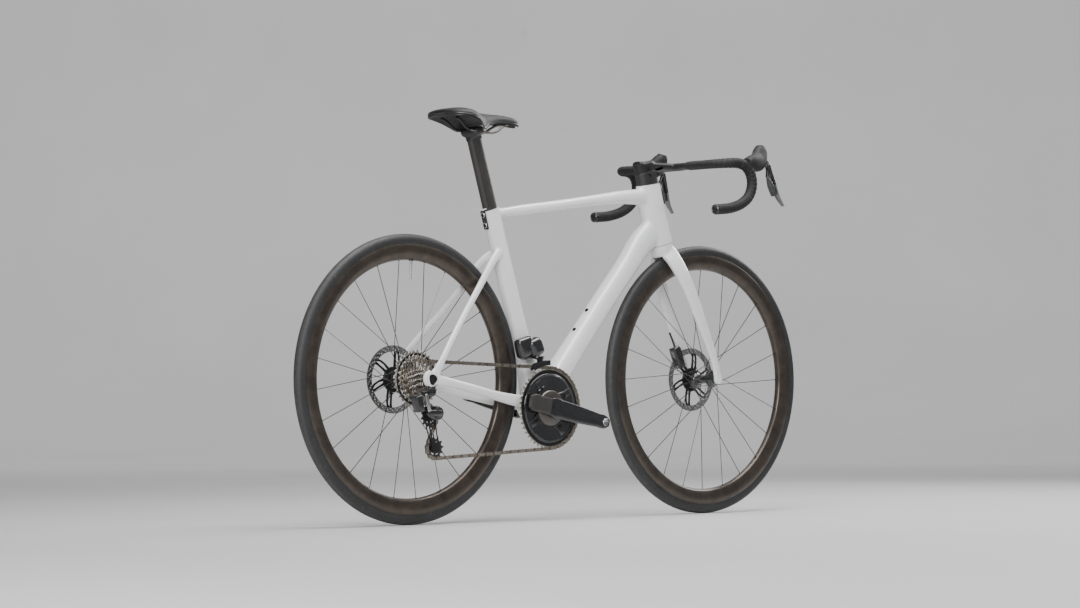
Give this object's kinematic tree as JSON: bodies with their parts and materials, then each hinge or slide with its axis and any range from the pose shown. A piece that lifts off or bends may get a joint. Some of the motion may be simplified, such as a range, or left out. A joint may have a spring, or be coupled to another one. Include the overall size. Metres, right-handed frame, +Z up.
{
  "type": "road bicycle",
  "caption": "Disc-brake road bicycle with a sloping frame, deep carbon wheels, drop bar, electronic shifting, chain drive and short-nosed saddle.",
  "frame": {"origin": "on the floor, midway between the two axles, in the bike's middle plane", "axes": "+X forward, from the rear wheel to the front wheel; +Z up; -Y is the drive side"},
  "size_m": [1.6638, 0.458, 0.983],
  "materials": {
    "white_paint": "gloss pearl",
    "satin_carbon": "satin",
    "rim_carbon": "satin bronze",
    "gloss_black": "gloss",
    "matt_black": "matt",
    "black_rubber": "matt",
    "tyre": "matt",
    "bright_steel": "brushed",
    "spoke_steel": "satin black",
    "chain_steel": "satin bronze",
    "black_alloy": "anodised"
  },
  "bodies": {
    "frame_body": {"frame": "white_paint", "derailleur_hanger": "black_alloy", "seat_clamp_wedge": "matt_black", "bottom_bracket_cup_left": "black_alloy", "bottom_bracket_cup_right": "black_alloy", "headset_bearing_upper": "bright_steel", "headset_bearing_lower": "bright_steel", "front_derailleur_body": "matt_black", "front_derailleur_battery": "matt_black", "rear_derailleur_mount": "gloss_black", "rear_derailleur_battery": "matt_black", "rear_brake_caliper": "matt_black", "rear_brake_hose": "black_rubber", "rear_thru_axle": "black_alloy", "chain": "chain_steel"},
    "steering": {"fork": "white_paint", "headset_spacer": "matt_black", "handlebar": "satin_carbon", "bar_tape_left": "black_rubber", "bar_tape_right": "black_rubber", "bar_end_plug_left": "matt_black", "bar_end_plug_right": "matt_black", "lever_hood_left": "black_rubber", "lever_hood_right": "black_rubber", "front_brake_caliper": "matt_black", "front_brake_hose": "black_rubber", "front_thru_axle": "black_alloy"},
    "lever_left": {"brake_lever_left": "gloss_black"},
    "lever_right": {"brake_lever_right": "gloss_black"},
    "paddle_left": {"shift_paddle_left": "matt_black"},
    "paddle_right": {"shift_paddle_right": "matt_black"},
    "front_wheel": {"front_tyre": "tyre", "front_rim": "rim_carbon", "front_spokes_left": "spoke_steel", "front_spokes_right": "spoke_steel", "front_hub": "black_alloy", "front_disc_rotor": "bright_steel"},
    "rear_wheel": {"rear_tyre": "tyre", "rear_rim": "rim_carbon", "rear_spokes_left": "spoke_steel", "rear_spokes_right": "spoke_steel", "rear_hub": "black_alloy", "rear_disc_rotor": "bright_steel"},
    "saddle_post": {"seatpost": "satin_carbon", "saddle_clamp": "black_alloy", "saddle_rails": "bright_steel", "saddle_shell": "matt_black", "saddle_cover": "black_rubber"},
    "crank": {"crank_arm_right": "gloss_black", "crank_arm_left": "gloss_black", "crank_spider": "black_alloy", "chainring_large": "black_alloy", "chainring_small": "black_alloy"},
    "sprockets": {"cassette": "bright_steel"},
    "front_mech": {"front_derailleur_cage": "bright_steel"},
    "rear_mech_knuckle": {"rear_derailleur_knuckle": "gloss_black"},
    "rear_mech_link": {"rear_derailleur_outer_link": "black_alloy"},
    "rear_mech_cage": {"rear_derailleur_cage": "matt_black"},
    "guide_wheel": {"guide_pulley": "matt_black"},
    "tension_wheel": {"tension_pulley": "matt_black"}
  },
  "joints": [
    {"name": "steering_turn", "type": "hinge", "parent": "frame_body", "child": "steering", "pos_m": [0.44975, 0, 0.32622], "axis": [-0.284, 0, 0.9588], "range_deg": [-60, 60]},
    {"name": "front_wheel_spin", "type": "hinge", "parent": "steering", "child": "front_wheel", "pos_m": [0.4929, 0, 0.339], "axis": [0, 1, 0], "continuous": true},
    {"name": "rear_wheel_spin", "type": "hinge", "parent": "frame_body", "child": "rear_wheel", "pos_m": [-0.4929, 0, 0.339], "axis": [0, 1, 0], "continuous": true},
    {"name": "crank_spin", "type": "hinge", "parent": "frame_body", "child": "crank", "pos_m": [-0.0874, 0, 0.2694], "axis": [0, 1, 0], "continuous": true, "deforming": ["chain"]},
    {"name": "cassette_spin", "type": "hinge", "parent": "frame_body", "child": "sprockets", "pos_m": [-0.4929, 0, 0.339], "axis": [0, 1, 0], "continuous": true, "deforming": ["chain"]},
    {"name": "seatpost_slide", "type": "slide", "parent": "frame_body", "child": "saddle_post", "axis": [-0.2924, 0, 0.9563], "range_m": [-0.03, 0.06]},
    {"name": "lever_pull_left", "type": "hinge", "parent": "steering", "child": "lever_left", "pos_m": [0.5375, 0.1845, 0.886], "axis": [0, 1, 0], "range_deg": [0, 20], "stiffness_Nm_per_rad": 0.8, "springref_deg": -17.19},
    {"name": "lever_pull_right", "type": "hinge", "parent": "steering", "child": "lever_right", "pos_m": [0.5375, -0.1845, 0.886], "axis": [0, 1, 0], "range_deg": [0, 20], "stiffness_Nm_per_rad": 0.8, "springref_deg": -17.19},
    {"name": "paddle_press_left", "type": "hinge", "parent": "lever_left", "child": "paddle_left", "pos_m": [0.535, 0.19, 0.848], "axis": [-1, 0, 0], "range_deg": [0, 10], "stiffness_Nm_per_rad": 0.2, "springref_deg": -11.46},
    {"name": "paddle_press_right", "type": "hinge", "parent": "lever_right", "child": "paddle_right", "pos_m": [0.535, -0.19, 0.848], "axis": [1, 0, 0], "range_deg": [0, 10], "stiffness_Nm_per_rad": 0.2, "springref_deg": -11.46},
    {"name": "front_derailleur_shift", "type": "hinge", "parent": "frame_body", "child": "front_mech", "pos_m": [-0.12, -0.035, 0.42], "axis": [1, 0, 0], "range_deg": [0, 8], "deforming": ["chain"]},
    {"name": "rear_derailleur_shift", "type": "slide", "parent": "frame_body", "child": "rear_mech_knuckle", "axis": [0, 0.8944, -0.4472], "range_m": [-0.0318, 0.0119], "deforming": ["chain"]},
    {"name": "rear_derailleur_link_swing", "type": "hinge", "parent": "frame_body", "child": "rear_mech_link", "pos_m": [-0.5146, -0.088, 0.3039], "axis": [0.9703, 0, 0.2419], "range_deg": [-39, 15]},
    {"name": "rear_derailleur_cage_swing", "type": "hinge", "parent": "rear_mech_knuckle", "child": "rear_mech_cage", "pos_m": [-0.464, -0.0381, 0.26], "axis": [0, -1, 0], "range_deg": [-15, 30], "stiffness_Nm_per_rad": 0.8, "deforming": ["chain"]},
    {"name": "guide_pulley_spin", "type": "hinge", "parent": "rear_mech_cage", "child": "guide_wheel", "pos_m": [-0.462, -0.0381, 0.252], "axis": [0, 1, 0], "continuous": true, "deforming": ["chain"]},
    {"name": "tension_pulley_spin", "type": "hinge", "parent": "rear_mech_cage", "child": "tension_wheel", "pos_m": [-0.44661, -0.0381, 0.17833], "axis": [0, 1, 0], "continuous": true, "deforming": ["chain"]}
  ],
  "couplings": [
    {"joint": "cassette_spin", "follows": "crank_spin", "ratio": 2.2857},
    {"joint": "guide_pulley_spin", "follows": "crank_spin", "ratio": -4},
    {"joint": "tension_pulley_spin", "follows": "crank_spin", "ratio": 4},
    {"joint": "rear_derailleur_link_swing", "follows": "rear_derailleur_shift", "rad_per_m": 21.2}
  ]
}
